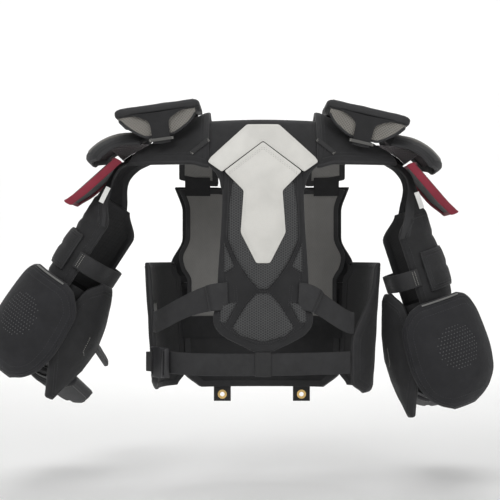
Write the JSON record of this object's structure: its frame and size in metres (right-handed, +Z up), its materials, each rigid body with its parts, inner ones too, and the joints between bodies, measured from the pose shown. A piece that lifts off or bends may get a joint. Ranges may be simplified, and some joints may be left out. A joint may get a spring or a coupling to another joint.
{
  "type": "hockey goalkeeper chest and arm protector",
  "caption": "Padded goalkeeper body protector: chest and belly blocks, shoulder yoke, spine pad, floating shoulder caps, jointed arms with elbow cups, elastic straps and a side-release buckle.",
  "frame": {"origin": "middle of the neck opening, level with the back neckline, on the garment's plane of symmetry", "axes": "+Y the way the wearer faces, +Z up, +X to the wearer's right"},
  "size_m": [0.8467, 0.4117, 0.5411],
  "materials": {
    "black_shell": "woven nylon over foam, satin",
    "liner": "brushed mesh lining",
    "heart_plastic": "moulded polyethylene sheet",
    "white_overlay": "synthetic leather, satin",
    "spine_mesh": "raised spacer mesh",
    "grey_mesh": "open grey mesh",
    "cap_grey": "grey woven face, black binding",
    "red_edge": "red edged foam plate",
    "webbing": "woven elastic webbing",
    "buckle_plastic": "moulded acetal",
    "grommet_brass": "plated",
    "label": "blank white satin tape"
  },
  "bodies": {
    "torso": {"chest_liner": "liner", "heart_plate": "heart_plastic", "chest_shell": "black_shell", "sternum_block": "white_overlay", "pec_block_left": "black_shell", "pec_block_right": "black_shell", "belly_upper": "black_shell", "side_wing_left": "black_shell", "side_wing_right": "black_shell", "yoke_left": "black_shell", "yoke_right": "black_shell", "back_yoke": "black_shell", "spine_pad": "black_shell", "spine_mesh": "spine_mesh", "spine_plate_upper": "white_overlay", "spine_plate_lower": "white_overlay", "lace_loops": "webbing", "diagonal_strap_left": "webbing", "diagonal_strap_right": "webbing", "waist_strap": "webbing", "strap_keeper": "webbing", "buckle_anchor": "webbing", "buckle_housing": "buckle_plastic"},
    "belly_apron": {"belly_lower": "black_shell", "belly_rib": "black_shell", "tie_down_tabs": "webbing", "grommets": "grommet_brass"},
    "buckle_clip": {"buckle_clip": "buckle_plastic"},
    "prong_upper": {"buckle_prong_upper": "buckle_plastic"},
    "prong_lower": {"buckle_prong_lower": "buckle_plastic"},
    "sling_left": {"shoulder_sling_left": "webbing"},
    "upper_arm_left": {"arm_sleeve_left": "black_shell", "bicep_guard_left": "black_shell", "bicep_strap_left": "webbing", "elbow_wing_left": "black_shell"},
    "shoulder_cap_left": {"shoulder_cap_left": "cap_grey", "bicep_wing_left": "red_edge", "care_label_left": "label"},
    "floater_left": {"floater_board_left": "black_shell", "floater_cup_left": "grey_mesh", "floater_strap_left": "webbing"},
    "forearm_left": {"forearm_sleeve_left": "black_shell", "forearm_guard_left": "black_shell", "forearm_strap_left": "webbing"},
    "elbow_cup_left": {"elbow_cup_left": "black_shell"},
    "sling_right": {"shoulder_sling_right": "webbing"},
    "upper_arm_right": {"arm_sleeve_right": "black_shell", "bicep_guard_right": "black_shell", "bicep_strap_right": "webbing", "elbow_wing_right": "black_shell"},
    "shoulder_cap_right": {"shoulder_cap_right": "cap_grey", "bicep_wing_right": "red_edge", "care_label_right": "label"},
    "floater_right": {"floater_board_right": "black_shell", "floater_cup_right": "grey_mesh", "floater_strap_right": "webbing"},
    "forearm_right": {"forearm_sleeve_right": "black_shell", "forearm_guard_right": "black_shell", "forearm_strap_right": "webbing"},
    "elbow_cup_right": {"elbow_cup_right": "black_shell"}
  },
  "joints": [
    {"name": "arm_swing_left", "type": "hinge", "parent": "torso", "child": "sling_left", "pos_m": [-0.19, 0, -0.105], "axis": [1, 0, 0], "range_deg": [-15, 25]},
    {"name": "arm_raise_left", "type": "hinge", "parent": "sling_left", "child": "upper_arm_left", "pos_m": [-0.19, 0, -0.105], "axis": [0, 1, 0], "range_deg": [-15, 15]},
    {"name": "cap_lift_left", "type": "hinge", "parent": "torso", "child": "shoulder_cap_left", "pos_m": [-0.19, 0, -0.105], "axis": [0, 1, 0], "range_deg": [-7.5, 7.5]},
    {"name": "floater_tilt_left", "type": "hinge", "parent": "torso", "child": "floater_left", "pos_m": [-0.1, 0, 0.024], "axis": [0, 1, 0], "range_deg": [-4.8, 4.8]},
    {"name": "elbow_bend_left", "type": "hinge", "parent": "upper_arm_left", "child": "forearm_left", "pos_m": [-0.35339, 0, -0.3566], "axis": [0.8101, -0.2588, -0.5261], "range_deg": [-60, 30]},
    {"name": "elbow_cup_float_left", "type": "hinge", "parent": "upper_arm_left", "child": "elbow_cup_left", "pos_m": [-0.35339, 0, -0.3566], "axis": [0.8101, -0.2588, -0.5261], "range_deg": [-9, 4.5]},
    {"name": "arm_swing_right", "type": "hinge", "parent": "torso", "child": "sling_right", "pos_m": [0.19, 0, -0.105], "axis": [1, 0, 0], "range_deg": [-15, 25]},
    {"name": "arm_raise_right", "type": "hinge", "parent": "sling_right", "child": "upper_arm_right", "pos_m": [0.19, 0, -0.105], "axis": [0, -1, 0], "range_deg": [0, 30]},
    {"name": "cap_lift_right", "type": "hinge", "parent": "torso", "child": "shoulder_cap_right", "pos_m": [0.19, 0, -0.105], "axis": [0, -1, 0], "range_deg": [0, 15]},
    {"name": "floater_tilt_right", "type": "hinge", "parent": "torso", "child": "floater_right", "pos_m": [0.1, 0, 0.024], "axis": [0, -1, 0], "range_deg": [0, 9.6]},
    {"name": "elbow_bend_right", "type": "hinge", "parent": "upper_arm_right", "child": "forearm_right", "pos_m": [0.28271, 0, -0.39032], "axis": [0.9511, 0, 0.309], "range_deg": [-60, 30]},
    {"name": "elbow_cup_float_right", "type": "hinge", "parent": "upper_arm_right", "child": "elbow_cup_right", "pos_m": [0.28271, 0, -0.39032], "axis": [0.9511, 0, 0.309], "range_deg": [-9, 4.5]},
    {"name": "belly_fold", "type": "hinge", "parent": "torso", "child": "belly_apron", "pos_m": [0, 0.132, -0.347], "axis": [1, 0, 0], "range_deg": [0, 25]},
    {"name": "clip_pull", "type": "slide", "parent": "torso", "child": "buckle_clip", "axis": [0.5719, -0.8203, 0], "range_m": [0, 0.03]},
    {"name": "prong_squeeze_upper", "type": "hinge", "parent": "buckle_clip", "child": "prong_upper", "pos_m": [-0.16343, -0.07073, -0.381], "axis": [-0.8203, -0.5719, 0], "range_deg": [0, 8], "stiffness_Nm_per_rad": 0.05},
    {"name": "prong_squeeze_lower", "type": "hinge", "parent": "buckle_clip", "child": "prong_lower", "pos_m": [-0.16343, -0.07073, -0.411], "axis": [0.8203, 0.5719, 0], "range_deg": [0, 8], "stiffness_Nm_per_rad": 0.05}
  ],
  "couplings": [
    {"joint": "cap_lift_left", "follows": "arm_raise_left", "ratio": 0.5},
    {"joint": "floater_tilt_left", "follows": "arm_raise_left", "ratio": 0.32},
    {"joint": "elbow_cup_float_left", "follows": "elbow_bend_left", "ratio": 0.15},
    {"joint": "cap_lift_right", "follows": "arm_raise_right", "ratio": 0.5},
    {"joint": "floater_tilt_right", "follows": "arm_raise_right", "ratio": 0.32},
    {"joint": "elbow_cup_float_right", "follows": "elbow_bend_right", "ratio": 0.15},
    {"joint": "prong_squeeze_lower", "follows": "prong_squeeze_upper", "ratio": 1}
  ]
}
